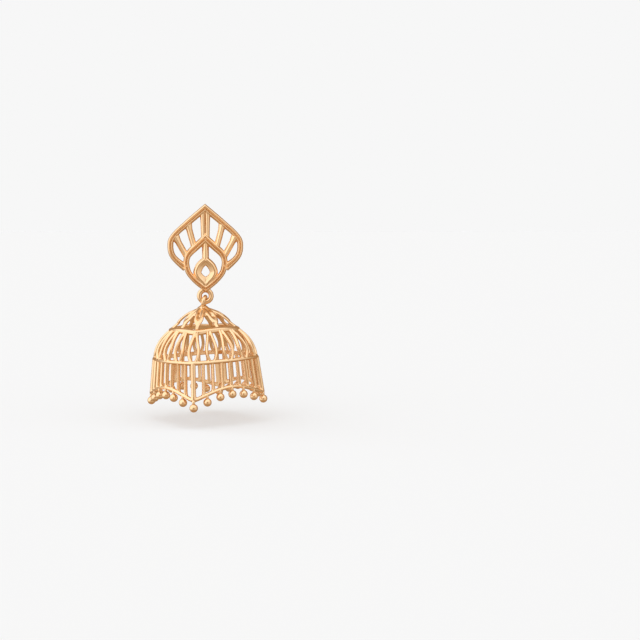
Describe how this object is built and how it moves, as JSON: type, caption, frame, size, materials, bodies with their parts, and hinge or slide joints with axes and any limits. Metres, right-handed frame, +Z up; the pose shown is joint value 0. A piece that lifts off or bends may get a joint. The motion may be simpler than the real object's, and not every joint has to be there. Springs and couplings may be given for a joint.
{
  "type": "jhumka earring",
  "caption": "Drop earring: a pierced leaf shaped stud with a soldered ring, and an openwork four sided bell with a beaded hem that swings on the ring.",
  "frame": {"origin": "where the ear post leaves the flat back of the stud, which is where the earring pins on", "axes": "+Z up, +Y along the ear post away from the stud's back, +X to the right as seen from the front"},
  "size_m": [0.0254, 0.0254, 0.0427],
  "materials": {
    "gold": "polished warm gold"
  },
  "bodies": {
    "stud": {"stud": "gold"},
    "bell": {"bell": "gold"}
  },
  "joints": [
    {"name": "bell_swing", "type": "hinge", "parent": "stud", "child": "bell", "pos_m": [-0.0001, 0.00025, -0.01176], "axis": [0.2233, 0.9748, 0], "range_deg": [-35, 35]}
  ]
}
